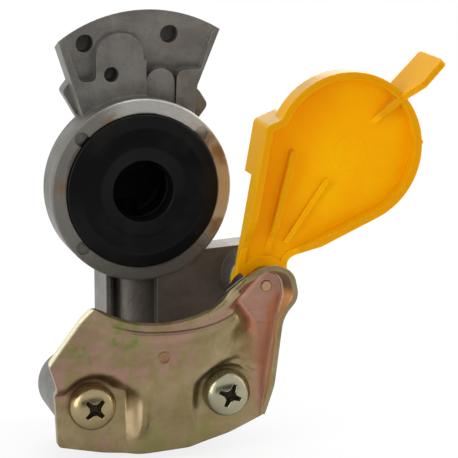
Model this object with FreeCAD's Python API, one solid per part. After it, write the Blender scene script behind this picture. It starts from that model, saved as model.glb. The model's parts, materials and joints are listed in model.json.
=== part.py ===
import FreeCAD, Part
import math
import os

# Gladhand air brake coupler of the palm type with a hinged dust cover.
# Millimetres. The origin is on the seal's axis, in the plane of the ring's front face.
# +X runs to the right, +Z up, and the coupling side faces -Y.
# Depths are given as w, counted from the ring's face towards the viewer, so y is -w.

# Ring and air way
RING_R = 23.2
RING_DEPTH = 10.8
RING_EDGE = 0.6
RING_FACE_FALL = 0.8
HOUSING_R = 19.5
HOUSING_BACK = -23.5
HOUSING_DRAFT = 2.0
HOUSING_ROUND = 6.0
SEAT_W = -12.3
CHAMBER_R = 11.0
CHAMBER_BACK = -19.0
CHANNEL_R = 4.0
CHANNEL_W = -16.4
NOTCH_R = 1.8
NOTCH_DEPTH = 1.2
NOTCH_ANGLES = (42.0, 138.0, 222.0, 318.0)

# Face seal
SEAL_R = 19.4
SEAL_FRONT = 1.6
SEAL_DOME = 0.9
SEAL_BORE_R = 7.75
SEAL_LIP_R = 20.7
SEAL_LIP_FRONT = -4.2
SEAL_LIP_BACK = -6.8
SEAL_HEEL_R = 16.2
SEAL_GAP = 0.2

# Guide fan
FAN_FRONT = -5.5
FAN_THICK = 7.8
FAN_ARC_R = 37.0
FAN_ARC_X = 2.1
FAN_ARC_Z = 7.8
FAN_ARC_DRAFT = 2.4
FAN_FLOOR_FALL = 5.2
FAN_HOLE_R = 2.3
FAN_SMALL_HOLE_R = 1.9
FAN_HOLE_DEPTH = 5.4
FAN_HOLES = ((-13.0, 36.8), (8.8, 38.3))
FAN_SMALL_HOLE = (-6.4, 28.8)
FAN_TOP = FAN_ARC_Z + FAN_ARC_R
FAN_BORDER = 1.0
FAN_FOOT = 10.0
FAN_SIDES = ((-23.0, FAN_TOP + 3.0), (-11.0, FAN_FOOT), (14.2, FAN_FOOT), (15.9, 25.2), (25.3, FAN_TOP + 3.0))
RECESS_LOW = 20.0
RECESS_LEFT = ((-20.9, FAN_TOP + 1.0), (-14.3, 27.2), (-10.2, 27.2))
RECESS_RIGHT = ((13.7, RECESS_LOW), (22.3, FAN_TOP + 1.0))
PAD_EDGES = (-10.2, 2.6, 10.1, 24.0)
TALL_PAD_TOP = 39.0
TALL_PAD_ROUND = 5.7
DISC_PAD_TOP = 29.7
DISC_PAD_ROUND = 3.7
DISC_PAD_DROP = 0.6
SIDE_PAD_TOP = 29.3
SIDE_PAD_ROUND = 2.4
STEP_FRONT = -10.5
STEP_BACK = -15.0
STEP_EDGE = [
    (0, 8.0, 0),
    (-12.6, 15.0, 0),
    (-17.9, 24.3, 1.3),
    (-15.4, 27.4, 0),
    (0, 29.0, 0),
    (17.6, 23.2, 1.6),
    (20.1, 19.2, 1.8),
    (15.9, 13.8, 0),
]

# Neck, lower block and port
AXIS_X = 0.5
NECK_LEFT = -8.6
NECK_RIGHT = 9.3
NECK_FRONT = -8.5
NECK_BACK = -23.0
NECK_ROUND = 6.0
NECK_RIB = 1.2
NECK_RIB_FRONT = -4.8
TUBE_R = 7.0
TUBE_W = -11.4
PORT_R = 10.19
PORT_DEPTH = 14.0
PORT_W = -13.0
PORT_BOSS_R = 14.5
PORT_MOUTH_Z = -66.0
PORT_BOSS_TOP = -45.0
PORT_BOSS_SHOULDER = 4.5
PORT_BOSS_EDGE = 0.8
NECK_TOP = -12.0
NECK_FOOT = PORT_BOSS_TOP - 4.0
WEB_FRONT = 3.5
WEB_BACK = -10.0
WEB_HALF = 7.0
WEB_TOP = -41.0

# Claw plate, a pressed sheet
SHEET = 2.0
PAD_W = 12.0
RAISE = 5.0
CLAW_R = 29.5
CLAW_TAPER = 0.3
CLAW_LIP_R = 34.0
CLAW_LIP_RISE = 2.2
SIDE_LIP_TOP = 16.6
SIDE_LIP_T = 1.3
SIDE_LIP_LEFT = 20.8
SIDE_LIP_LOW = -57.2
SIDE_LIP_SLANT = 9.0
SCREW_PAD_R = 7.4
SCREW_PAD_RUN = 1.9
PAD_CORNER_LEFT = (-8.2, -47.4)
PAD_CORNER_RIGHT = (10.7, -46.3)
PAD_SIDE_RUN = 1.9
PAD_CORNER_R = 1.0
FALL_TOP = -41.0
FALL_LOW = -62.0
FALL_SHARE = 0.85
BEAD_X = -6.1
BEAD_HALF = 2.4
BEAD_CREST = 0.4
BEAD_END = (-55.0, -62.5)
WING_CREASE = ((21.2, -27.1), (26.3, -33.4))
WING_CREASE_RUN = 3.0
WING_SIDE_X = 27.4
WING_SIDE_RUN = 8.0
WING_FLANGE_R = (31.4, 33.4)
FORM_LEFT = -32.0
FORM_RIGHT = 36.0
FORM_LOW = -68.0
FORM_HIGH = -14.0
FORM_STEP = 1.3

# Fixing screws, M6 pan head
SCREW_LEFT = (-16.8, -50.9)
SCREW_RIGHT = (18.0, -50.4)
SCREW_R = 3.0
SCREW_LENGTH = 16.0
HEAD_R = 6.0
HEAD_H = 4.4
HOLE_GAP = 0.3
THREAD_GAP = 0.05
SCREW_BOSS_R = 8.8
SCREW_BOSS_BACK = -10.0
RECESS_TURN_LEFT = 45.0
RECESS_TURN_RIGHT = 66.0
RECESS_REACH = 3.1
RECESS_HALF = 0.62
RECESS_CORE_R = 1.9
RECESS_DEEP = 2.5

# Hinge of the cover
PIVOT = (28.6, -23.6)
PIN_R = 3.0
PIN_GAP = 0.06
PIN_TENON_R = 1.4
EAR_R = 8.0
EAR_FRONT = -2.0
EAR_BACK = -10.0
EAR_INNER_X = 4.0
EAR_FOOT_Z = -44.0
EAR_BOSS_R = 7.6
SPRING_T = 0.6
SPRING_H = 1.0
SPRING_GAP = 0.2
RUN_GAP = 0.3
COVER_BOSS_H = 3.5
COVER_BOSS_TOP = PAD_W - SHEET - RUN_GAP
COVER_BOSS_BACK = COVER_BOSS_TOP - COVER_BOSS_H
EAR_BOSS_W = COVER_BOSS_BACK - SPRING_GAP - SPRING_H

# Dust cover
COVER_X = 49.8
COVER_Z = 10.1
COVER_R = 19.6
COVER_FRONT = 13.2
COVER_RIM = 5.7
COVER_WALL = 1.8
COVER_FLOOR = 1.8
HOOK_BACK = 2.0
HOOK_CORNER = (28.4, 17.2)
HOOK_INNER = (30.3, 15.6)
HOOK_ROOT = (34.0, 19.4)
HOOK_ROOT_INNER = (34.6, 17.4)
HOOK_LOW_Z = 4.1
FIN_T = 1.7
FIN_START = (57.4, 15.9)
FIN_ANGLE = 45.0
FIN_RUN_UP = 9.2
FIN_KINK = 14.6
FIN_LENGTH = 22.6
FIN_TIP_RISE = 4.5
FIN_TIP_FALL = 0.4
RIB_W = 1.5
RIB_LONG = ((36.2, 10.2), (29.6, -15.8))
RIB_LONG_H = 2.2
RIB_SHORT = ((45.4, 2.2), (34.2, -13.6))
RIB_SHORT_H = 0.8
BOSS_R = 7.7
BOSS_DRAFT = 0.6
CLEAR_R = 11.0
CLEAR_SLOPE_R = 17.0
GATE_ANGLE = 2.0
GATE_R = 0.7
GATE_OUT = 0.7

V = FreeCAD.Vector


def at(x, z, w):
    return V(x, -w, z)


def rounded_wire(corners, place):
    """Closed wire through corners (a, b, radius), placed in space by place(a, b)."""
    count = len(corners)
    starts = []
    ends = []
    middles = []
    for i in range(count):
        a, b, radius = corners[i]
        before = corners[i - 1]
        after = corners[(i + 1) % count]
        if radius == 0:
            starts.append((a, b))
            ends.append((a, b))
            middles.append(None)
            continue
        ua = unit(before[0] - a, before[1] - b)
        ub = unit(after[0] - a, after[1] - b)
        half = math.acos(max(-1.0, min(1.0, ua[0] * ub[0] + ua[1] * ub[1]))) / 2
        run = radius / math.tan(half)
        way = unit(ua[0] + ub[0], ua[1] + ub[1])
        reach = radius / math.sin(half) - radius
        starts.append((a + ua[0] * run, b + ua[1] * run))
        ends.append((a + ub[0] * run, b + ub[1] * run))
        middles.append((a + way[0] * reach, b + way[1] * reach))
    edges = []
    for i in range(count):
        if middles[i] is not None:
            edges.append(Part.Arc(place(*starts[i]), place(*middles[i]), place(*ends[i])).toShape())
        begin = ends[i]
        finish = starts[(i + 1) % count]
        edges.append(Part.makeLine(place(*begin), place(*finish)))
    return Part.Wire(edges)


def unit(a, b):
    size = math.hypot(a, b)
    return a / size, b / size


def outline(corners, w):
    return rounded_wire(corners, lambda x, z: at(x, z, w))


def prism(corners, back, front):
    return Part.Face(outline(corners, back)).extrude(V(0, back - front, 0))


def side_prism(corners, left, right):
    """Prism along X of corners (z, w, radius)."""
    wire = rounded_wire(corners, lambda z, w: at(left, z, w))
    return Part.Face(wire).extrude(V(right - left, 0, 0))


def frustum(low_corners, low, high_corners, high):
    return Part.makeLoft([outline(low_corners, low), outline(high_corners, high)], True, True)


def turned(profile, centre):
    """Solid of revolution about the Y direction through centre; profile is (r, w, radius)."""
    wire = rounded_wire(profile, lambda r, w: at(centre[0] + r, centre[1], w))
    return Part.Face(wire).revolve(at(centre[0], centre[1], 0), V(0, 1, 0), 360)


def round_bar(centre, radius, back, front):
    return Part.makeCylinder(radius, front - back, at(centre[0], centre[1], back), V(0, -1, 0))


def upright_bar(x, w, radius, bottom, top):
    return Part.makeCylinder(radius, top - bottom, at(x, bottom, w), V(0, 0, 1))


def upright_prism(corners, bottom, top):
    """Prism along Z of corners (x, w, radius)."""
    wire = rounded_wire(corners, lambda x, w: at(x, bottom, w))
    return Part.Face(wire).extrude(V(0, 0, top - bottom))


def upright_turned(profile, x, w):
    """Solid of revolution about the upright line at x and w; profile is (r, z, radius)."""
    wire = rounded_wire(profile, lambda r, z: at(x + r, z, w))
    return Part.Face(wire).revolve(at(x, 0, w), V(0, 0, 1), 360)


def block(left, right, bottom, top, back, front):
    return Part.makeBox(right - left, front - back, top - bottom, at(left, bottom, front))


def inset(corners, distance):
    """Corners moved inwards by distance, with their radii changed to stay parallel."""
    count = len(corners)
    area = sum(
        corners[i - 1][0] * corners[i][1] - corners[i][0] * corners[i - 1][1] for i in range(count)
    )
    side = 1.0 if area > 0 else -1.0
    moved = []
    for i in range(count):
        a, b, radius = corners[i]
        before = corners[i - 1]
        after = corners[(i + 1) % count]
        u = unit(a - before[0], b - before[1])
        v = unit(after[0] - a, after[1] - b)
        n = (-u[1] * side, u[0] * side)
        m = (-v[1] * side, v[0] * side)
        share = distance / (1 + n[0] * m[0] + n[1] * m[1])
        turn = (u[0] * v[1] - u[1] * v[0]) * side
        if radius > 0:
            radius = max(0.3, radius - distance if turn > 0 else radius + distance)
        moved.append((a + (n[0] + m[0]) * share, b + (n[1] + m[1]) * share, radius))
    return moved


def polar(radius, degrees, centre=(0.0, 0.0)):
    angle = math.radians(degrees)
    return centre[0] + radius * math.cos(angle), centre[1] + radius * math.sin(angle)


def fuse(parts):
    return parts[0].multiFuse(parts[1:]).removeSplitter()


# Body casting

def ring_shell():
    back = -RING_DEPTH
    return turned([
        (0, HOUSING_BACK, 0),
        (HOUSING_R - HOUSING_DRAFT, HOUSING_BACK, HOUSING_ROUND),
        (HOUSING_R, back, 0),
        (RING_R, back, 0.8),
        (RING_R, -RING_FACE_FALL, RING_EDGE),
        (SEAL_R + SEAL_GAP, 0, 0),
        (0, 0, 0),
    ], (0, 0))


def seal_cavity():
    open_r = SEAL_R + SEAL_GAP
    groove_r = SEAL_LIP_R + SEAL_GAP
    heel_r = SEAL_HEEL_R + SEAL_GAP
    return turned([
        (0, 1.0, 0),
        (open_r, 1.0, 0),
        (open_r, SEAL_LIP_FRONT + SEAL_GAP, 0),
        (groove_r, SEAL_LIP_FRONT + SEAL_GAP, 0),
        (groove_r, SEAL_LIP_BACK, 0),
        (heel_r, SEAL_LIP_BACK, 0),
        (heel_r, SEAT_W, 0),
        (CHAMBER_R, SEAT_W, 0),
        (CHAMBER_R, CHAMBER_BACK, 2.0),
        (0, CHAMBER_BACK, 0),
    ], (0, 0))


def fan_wing():
    back = FAN_FRONT - FAN_THICK
    wedge = prism([(x, z, 0) for x, z in FAN_SIDES], back, FAN_FRONT)
    cone = turned([
        (0, back, 0),
        (FAN_ARC_R - FAN_ARC_DRAFT, back, 0),
        (FAN_ARC_R, FAN_FRONT, 0),
        (0, FAN_FRONT, 0),
    ], (FAN_ARC_X, FAN_ARC_Z))
    return wedge.common(cone)


def fan_pads():
    """Outlines of the three pads that stand on the recess's sloping floor, left to right."""
    low = RECESS_LOW - 2.0
    left, split, joint, right = PAD_EDGES
    tall = [(left, low, 0), (left, TALL_PAD_TOP, TALL_PAD_ROUND), (split - 1.0, TALL_PAD_TOP, TALL_PAD_ROUND),
            (split, low, 0)]
    disc = [(split, low, 0), (split, DISC_PAD_TOP, DISC_PAD_ROUND), (joint, DISC_PAD_TOP, DISC_PAD_ROUND),
            (joint, low, 0)]
    side = [(joint, low, 0), (joint + 0.6, SIDE_PAD_TOP, SIDE_PAD_ROUND), (right, SIDE_PAD_TOP, 0),
            (right, low, 0)]
    return tall, disc, side


def fan_recess():
    front = FAN_FRONT + 1.0
    deep = FAN_FRONT - FAN_FLOOR_FALL
    near = RECESS_LOW - FAN_ARC_Z
    far = FAN_ARC_R - FAN_BORDER
    ramp = turned([(near, deep, 0), (far, FAN_FRONT, 0), (far, front, 0), (near, front, 0)],
                  (FAN_ARC_X, FAN_ARC_Z))
    left, split = PAD_EDGES[:2]
    round_foot = [(x, z, 1.6 if z < FAN_TOP else 0) for x, z in RECESS_LEFT]
    region = prism(round_foot + [
        (left, RECESS_LEFT[-1][1] + 5.0, 0),
        (split, RECESS_LEFT[-1][1] + 5.0, 0),
        (split, RECESS_LOW, 0),
    ] + [(x, z, 0) for x, z in RECESS_RIGHT], deep - 1.0, front)
    cutter = ramp.common(region)
    pads = fan_pads()
    for pad in pads:
        cutter = cutter.cut(prism(pad, deep - 2.0, front + 1.0))
    return [cutter, prism(pads[1], FAN_FRONT - DISC_PAD_DROP, front)]


def fan_holes():
    bottom = FAN_FRONT - FAN_HOLE_DEPTH
    holes = [round_bar(place, FAN_HOLE_R, bottom, FAN_FRONT + 1.0) for place in FAN_HOLES]
    holes.append(round_bar(FAN_SMALL_HOLE, FAN_SMALL_HOLE_R, bottom, FAN_FRONT + 1.0))
    return holes


def back_step():
    return prism(STEP_EDGE, STEP_BACK, STEP_FRONT)


def neck():
    spine = upright_prism([
        (NECK_LEFT, NECK_FRONT, 0),
        (NECK_RIGHT, NECK_FRONT, 0),
        (NECK_RIGHT, NECK_BACK, NECK_ROUND),
        (NECK_LEFT, NECK_BACK, NECK_ROUND),
    ], NECK_FOOT, NECK_TOP)
    tube = upright_bar(AXIS_X, TUBE_W, TUBE_R, NECK_FOOT, NECK_TOP)
    rib_back = NECK_BACK + 2 * NECK_ROUND
    left_rib = block(NECK_LEFT, NECK_LEFT + NECK_RIB, NECK_FOOT, NECK_TOP, rib_back, NECK_RIB_FRONT)
    right_rib = block(NECK_RIGHT - NECK_RIB, NECK_RIGHT, NECK_FOOT, NECK_TOP, rib_back, NECK_RIB_FRONT)
    return [spine, tube, left_rib, right_rib]


def lower_block():
    left_x, left_z = SCREW_LEFT
    right_x, right_z = SCREW_RIGHT
    web = prism([
        (left_x, left_z - WEB_HALF, 0),
        (right_x, right_z - WEB_HALF, 0),
        (right_x, right_z + WEB_HALF, 0),
        (NECK_RIGHT, WEB_TOP, 0),
        (NECK_LEFT, WEB_TOP, 0),
        (left_x, left_z + WEB_HALF, 0),
    ], WEB_BACK, WEB_FRONT)
    pad = PAD_W - SHEET
    bosses = [round_bar(place, SCREW_BOSS_R, SCREW_BOSS_BACK, pad) for place in (SCREW_LEFT, SCREW_RIGHT)]
    port_boss = upright_turned([
        (0, PORT_MOUTH_Z, 0),
        (PORT_BOSS_R - PORT_BOSS_EDGE, PORT_MOUTH_Z, 0),
        (PORT_BOSS_R, PORT_MOUTH_Z + PORT_BOSS_EDGE, 0),
        (PORT_BOSS_R, PORT_BOSS_TOP, PORT_BOSS_EDGE),
        (PORT_BOSS_R - PORT_BOSS_SHOULDER, PORT_BOSS_TOP + PORT_BOSS_SHOULDER, 0),
        (0, PORT_BOSS_TOP + PORT_BOSS_SHOULDER, 0),
    ], AXIS_X, PORT_W)
    return [web, port_boss] + bosses


def hinge_ear():
    x, z = PIVOT
    arm = prism([
        (EAR_INNER_X, z + EAR_R - 1.5, 0),
        (x + EAR_R, z + EAR_R, EAR_R - 0.1),
        (x + EAR_R, z - EAR_R, EAR_R - 0.1),
        (NECK_RIGHT, EAR_FOOT_Z, 0),
        (EAR_INNER_X, EAR_FOOT_Z, 0),
    ], EAR_BACK, EAR_FRONT)
    return [arm, round_bar(PIVOT, EAR_BOSS_R, EAR_BACK, EAR_BOSS_W)]


def air_way():
    channel = upright_bar(AXIS_X, CHANNEL_W, CHANNEL_R, PORT_MOUTH_Z + PORT_DEPTH - 1.0, -6.0)
    port = upright_bar(AXIS_X, PORT_W, PORT_R, PORT_MOUTH_Z - 1.0, PORT_MOUTH_Z + PORT_DEPTH)
    return [channel, port]


def body_casting():
    solids = [ring_shell(), fan_wing(), back_step()] + neck() + lower_block() + hinge_ear()
    body = fuse(solids)
    cutters = [seal_cavity()] + fan_recess() + fan_holes() + air_way()
    for angle in NOTCH_ANGLES:
        place = polar(SEAL_R + SEAL_GAP + 0.9, angle)
        cutters.append(round_bar(place, NOTCH_R, -NOTCH_DEPTH, 1.0))
    for place in (SCREW_LEFT, SCREW_RIGHT):
        deep = PAD_W - SCREW_LENGTH - 1.0
        cutters.append(round_bar(place, SCREW_R + THREAD_GAP, deep, PAD_W))
    cutters.append(round_bar(PIVOT, PIN_R + THREAD_GAP, EAR_BACK - 1.0, EAR_BOSS_W + 1.0))
    return body.cut(cutters).removeSplitter()


# Face seal

def face_seal():
    return turned([
        (SEAL_BORE_R, SEAT_W, 0),
        (SEAL_HEEL_R, SEAT_W, 0),
        (SEAL_HEEL_R, SEAL_LIP_BACK, 0),
        (SEAL_LIP_R, SEAL_LIP_BACK, 0.4),
        (SEAL_LIP_R, SEAL_LIP_FRONT, 0.4),
        (SEAL_R, SEAL_LIP_FRONT, 0),
        (SEAL_R, SEAL_FRONT - SEAL_DOME, 0.4),
        (SEAL_R - 3.5, SEAL_FRONT, 3.0),
        (SEAL_BORE_R + 3.5, SEAL_FRONT, 3.0),
        (SEAL_BORE_R, SEAL_FRONT - SEAL_DOME, 0.4),
    ], (0, 0))


# Claw plate

SHEET_EDGE = [
    (-17.8, -24.2, 1.6),
    (-28.5, -38.2, 2.4),
    (-26.4, -44.6, 4.0),
    (-25.9, -50.0, 8.0),
    (-25.4, -61.0, 1.2),
    (-14.2, -63.4, 12.0),
    (-4.0, -64.6, 25.0),
    (9.0, -63.9, 25.0),
    (19.0, -61.2, 20.0),
    (28.0, -57.3, 1.6),
    (32.0, -31.9, 5.0),
    (33.5, -26.3, 3.0),
    (32.7, -20.5, 3.5),
    (28.2, -18.5, 4.0),
    (16.0, -26.4, 0),
    (12.0, -14.5, 0),
    (-12.0, -14.5, 0),
    (-12.0, -26.8, 0),
]
LIP_CREASE = [
    (10.0, -32.6, 0),
    (27.9, -19.8, 3.0),
    (31.8, -21.2, 3.4),
    (32.5, -26.3, 5.0),
    (31.1, -31.8, 7.0),
    (26.4, -60.0, 0),
    (10.0, -60.0, 0),
]
LIP_TOP = [
    (10.0, -29.1, 0),
    (28.3, -16.9, 5.0),
    (34.4, -19.0, 5.0),
    (35.8, -26.2, 4.5),
    (31.7, -30.9, 9.0),
    (27.9, -60.0, 0),
    (10.0, -60.0, 0),
]


def soft_step(value, low, high):
    """Rises smoothly from 0 at low to 1 at high."""
    share = max(0.0, min(1.0, (value - low) / (high - low)))
    return share * share * (3.0 - 2.0 * share)


def corner_gap(x, z, corner, side):
    """Distance outside the area below a corner and beyond it on its side, round at the corner."""
    a = (corner[0] - x) * side + PAD_CORNER_R
    b = z - corner[1] + PAD_CORNER_R
    return math.hypot(max(a, 0.0), max(b, 0.0)) + min(max(a, b), 0.0) - PAD_CORNER_R


def wing_share(x, z):
    """0 on the wing and down the right side, 1 on the raised form to their left."""
    (ax, az), (bx, bz) = WING_CREASE
    along = unit(bx - ax, bz - az)
    crease_gap = (x - ax) * along[1] - (z - az) * along[0]
    share = soft_step(crease_gap, 0.0, WING_CREASE_RUN)
    return share * soft_step(WING_SIDE_X - x, 0.0, WING_SIDE_RUN)


def middle_share(x, z):
    """Height of the raised form, which falls to the lower edge and has a bead at its left."""
    level = 1.0 - FALL_SHARE * soft_step(-z, -FALL_TOP, -FALL_LOW)
    bead = 1.0 - soft_step(-z, -BEAD_END[0], -BEAD_END[1])
    profile = 1.0 - soft_step(abs(x - BEAD_X), BEAD_CREST, BEAD_HALF)
    return level + max(0.0, bead - level) * profile


def form_height(x, z):
    """Front surface of the pressed sheet, as w."""
    radius = math.hypot(x, z)
    wing = wing_share(x, z)
    share = middle_share(x, z) * wing
    for place, corner, side in ((SCREW_LEFT, PAD_CORNER_LEFT, -1.0), (SCREW_RIGHT, PAD_CORNER_RIGHT, 1.0)):
        round_gap = math.hypot(x - place[0], z - place[1]) - SCREW_PAD_R
        share *= soft_step(round_gap, 0.0, SCREW_PAD_RUN)
        share *= soft_step(corner_gap(x, z, corner, side), 0.0, PAD_SIDE_RUN)
    flange = 1.0 - soft_step(radius, *WING_FLANGE_R)
    if x > 0.0:
        share = max(share, flange)
    lip = max(0.0, (CLAW_LIP_R - radius) / (CLAW_LIP_R - CLAW_R))
    return PAD_W + RAISE * share + CLAW_LIP_RISE * min(lip, 1.4) * wing


def form_places(low, high):
    """Pole places and knots of a clamped cubic spline that is linear along this direction."""
    count = round((high - low) / FORM_STEP)
    knots = [low + (high - low) * i / count for i in range(count + 1)]
    full = [low] * 3 + knots + [high] * 3
    places = [sum(full[i + 1:i + 4]) / 3 for i in range(count + 3)]
    repeats = [4] + [1] * (count - 1) + [4]
    return places, knots, repeats


def pressed_form():
    """The pressed sheet before it is trimmed: a smooth surface, thickened backwards."""
    across, u_knots, u_repeats = form_places(FORM_LEFT, FORM_RIGHT)
    upwards, v_knots, v_repeats = form_places(FORM_LOW, FORM_HIGH)
    poles = [[at(x, z, form_height(x, z)) for z in upwards] for x in across]
    surface = Part.BSplineSurface()
    surface.buildFromPolesMultsKnots(poles, u_repeats, v_repeats, u_knots, v_knots, False, False, 3, 3)
    return surface.toShape().extrude(V(0, SHEET, 0))


def side_lip():
    """The flange bent forward round the wing and down the right side."""
    foot = PAD_W - SHEET * 0.75
    outer = frustum(inset(LIP_CREASE, -SIDE_LIP_T), foot, LIP_TOP, SIDE_LIP_TOP)
    inner = frustum(LIP_CREASE, PAD_W, inset(LIP_TOP, SIDE_LIP_T), SIDE_LIP_TOP)
    well = prism(LIP_CREASE, foot - 1.0, PAD_W)
    right = FORM_RIGHT + SHEET
    keep = block(SIDE_LIP_LEFT, right, SIDE_LIP_LOW, FORM_HIGH, foot, SIDE_LIP_TOP)
    slant = side_prism([
        (SIDE_LIP_LOW - 1.0, PAD_W, 0),
        (SIDE_LIP_LOW + SIDE_LIP_SLANT, SIDE_LIP_TOP, 6.0),
        (FORM_HIGH, SIDE_LIP_TOP, 0),
        (FORM_HIGH, SIDE_LIP_TOP + 2.0, 0),
        (SIDE_LIP_LOW - 1.0, SIDE_LIP_TOP + 2.0, 0),
    ], SIDE_LIP_LEFT - 1.0, right + 1.0)
    return outer.cut([inner, well, slant]).common(keep)


def claw_cutter():
    top = PAD_W + RAISE
    reach = RAISE + 2.0
    return turned([
        (0, PAD_W - 2 * SHEET, 0),
        (CLAW_R, PAD_W - 2 * SHEET, 0),
        (CLAW_R, top, 0),
        (CLAW_R + CLAW_TAPER * reach, top + reach, 0),
        (0, top + reach, 0),
    ], (0, 0))


def claw_plate():
    low = PAD_W - 2 * SHEET
    high = PAD_W + 2 * RAISE
    plate = pressed_form().common(prism(SHEET_EDGE, low, high)).fuse(side_lip())
    cutters = [claw_cutter()]
    for place in (SCREW_LEFT, SCREW_RIGHT):
        cutters.append(round_bar(place, SCREW_R + HOLE_GAP, low, high))
    cutters.append(round_bar(PIVOT, PIN_TENON_R + THREAD_GAP, low, high))
    return plate.cut(cutters)


# Screws

def cross_recess(top):
    """Cross recess narrowing downwards from top, about the origin."""

    def cross(reach, half):
        arm = [(reach, -half), (reach, half), (half, half)]
        corners = []
        for _ in range(4):
            corners += [(a, b, 0) for a, b in arm]
            arm = [(-b, a) for a, b in arm]
        return corners

    floor = top - RECESS_DEEP
    narrow = cross(RECESS_REACH * 0.5, RECESS_HALF * 0.7)
    arms = frustum(narrow, floor, cross(RECESS_REACH, RECESS_HALF), top)
    core = [(0, floor, 0), (RECESS_CORE_R * 0.5, floor, 0), (RECESS_CORE_R, top, 0), (0, top, 0)]
    return arms.fuse(turned(core, (0, 0)))


def pan_screw(place, turn):
    tip = PAD_W - SCREW_LENGTH
    screw = turned([
        (0, tip, 0),
        (SCREW_R, tip, 0.6),
        (SCREW_R, PAD_W, 0),
        (HEAD_R, PAD_W, 0),
        (HEAD_R, PAD_W + 1.2, 0.5),
        (HEAD_R * 0.62, PAD_W + HEAD_H, 2.6),
        (0, PAD_W + HEAD_H, 0),
    ], place)
    recess = cross_recess(PAD_W + HEAD_H)
    recess.rotate(V(0, 0, 0), V(0, -1, 0), turn)
    recess.translate(at(place[0], place[1], 0))
    return screw.cut(recess)


# Dust cover

ARM_EDGE = [
    (*HOOK_ROOT, 0),
    (*HOOK_CORNER, 1.5),
    (21.4, -21.0, 0),
    (PIVOT[0], PIVOT[1] - 5.0, 0),
    (35.4, -22.6, 0),
    (34.4, -18.0, 2.5),
]


def arm_outline(wall):
    """Outline of the arm, moved inwards by the wall; its lower edge is tangent to the dish."""
    foot = ARM_EDGE[-1]
    away = math.hypot(foot[0] - COVER_X, foot[1] - COVER_Z)
    turn = math.degrees(math.atan2(foot[1] - COVER_Z, foot[0] - COVER_X))
    angle = turn + math.degrees(math.acos(COVER_R / away))
    centre = (COVER_X, COVER_Z)
    corners = inset(ARM_EDGE + [(*polar(COVER_R, angle, centre), 0), (*centre, 0)], wall)
    corners[-2] = (*polar(COVER_R - wall, angle, centre), 0)
    corners[-1] = (*centre, 0)
    return corners


def cover():
    centre = (COVER_X, COVER_Z)
    back = COVER_FRONT - COVER_RIM
    floor = back + COVER_FLOOR
    front = COVER_FRONT + 2 * FIN_TIP_RISE
    gate = polar(COVER_R + GATE_OUT - GATE_R, GATE_ANGLE, centre)
    shell = fuse([
        round_bar(centre, COVER_R, back, COVER_FRONT),
        prism(arm_outline(0.0), back, COVER_FRONT),
        hook_walls(),
        round_bar(gate, GATE_R, back + 1.0, COVER_FRONT - 1.0),
    ])
    hollow = round_bar(centre, COVER_R - COVER_WALL, floor, front)
    hollow = hollow.fuse(prism(arm_outline(COVER_WALL), floor, front))
    shell = shell.cut(hollow)
    boss = turned([
        (0, COVER_BOSS_BACK, 0),
        (BOSS_R, COVER_BOSS_BACK, 0),
        (BOSS_R - BOSS_DRAFT, COVER_BOSS_TOP, 0),
        (0, COVER_BOSS_TOP, 0),
    ], PIVOT)
    ribs = [inner_rib(RIB_LONG, floor, RIB_LONG_H), inner_rib(RIB_SHORT, floor, RIB_SHORT_H)]
    piece = fuse([shell, boss, finger_fin(floor)] + ribs)
    clear = turned([
        (0, COVER_BOSS_TOP, 0),
        (CLEAR_R, COVER_BOSS_TOP, 0),
        (CLEAR_SLOPE_R, COVER_FRONT, 0),
        (CLEAR_SLOPE_R, front, 0),
        (0, front, 0),
    ], PIVOT)
    bore = round_bar(PIVOT, PIN_R + PIN_GAP, 0, front)
    return piece.cut([clear, bore]).removeSplitter()


def hook_walls():
    slope = unit(HOOK_CORNER[0] - ARM_EDGE[2][0], HOOK_CORNER[1] - ARM_EDGE[2][1])
    outer_low = HOOK_CORNER[0] - (HOOK_CORNER[1] - HOOK_LOW_Z) * slope[0] / slope[1]
    inner_low = HOOK_INNER[0] - (HOOK_INNER[1] - HOOK_LOW_Z) * slope[0] / slope[1]
    outer = [
        (*HOOK_ROOT, 0),
        (*HOOK_CORNER, 1.5),
        (outer_low, HOOK_LOW_Z, 0),
        (inner_low, HOOK_LOW_Z, 0),
        (*HOOK_INNER, 0.6),
        (*HOOK_ROOT_INNER, 0),
    ]
    return prism(outer, HOOK_BACK, COVER_FRONT)


def inner_rib(line, floor, height):
    start, end = line
    along = unit(end[0] - start[0], end[1] - start[1])
    across = (-along[1] * RIB_W / 2, along[0] * RIB_W / 2)
    return prism([
        (start[0] - across[0], start[1] - across[1], 0.6),
        (start[0] + across[0], start[1] + across[1], 0.6),
        (end[0] + across[0], end[1] + across[1], 0),
        (end[0] - across[0], end[1] - across[1], 0),
    ], floor - 0.5, floor + height)


def finger_fin(floor):
    along = polar(1.0, FIN_ANGLE)
    across = polar(1.0, FIN_ANGLE - 90.0)
    tip = COVER_FRONT + FIN_TIP_RISE
    root = floor - COVER_FLOOR / 4
    profile = [
        (0, root, 0),
        (0, floor, 0),
        (FIN_RUN_UP, COVER_FRONT, 0),
        (FIN_KINK, tip, 1.0),
        (FIN_LENGTH, tip - FIN_TIP_FALL, 1.4),
        (FIN_LENGTH, HOOK_BACK, 0.8),
        (FIN_RUN_UP + 0.8, HOOK_BACK, 0),
        (FIN_RUN_UP + 0.2, root, 0),
    ]

    def place(s, w):
        x = FIN_START[0] + along[0] * s - across[0] * FIN_T / 2
        z = FIN_START[1] + along[1] * s - across[1] * FIN_T / 2
        return at(x, z, w)

    face = Part.Face(rounded_wire(profile, place))
    return face.extrude(V(across[0] * FIN_T, 0, across[1] * FIN_T))


# Hinge pin and spring

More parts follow.
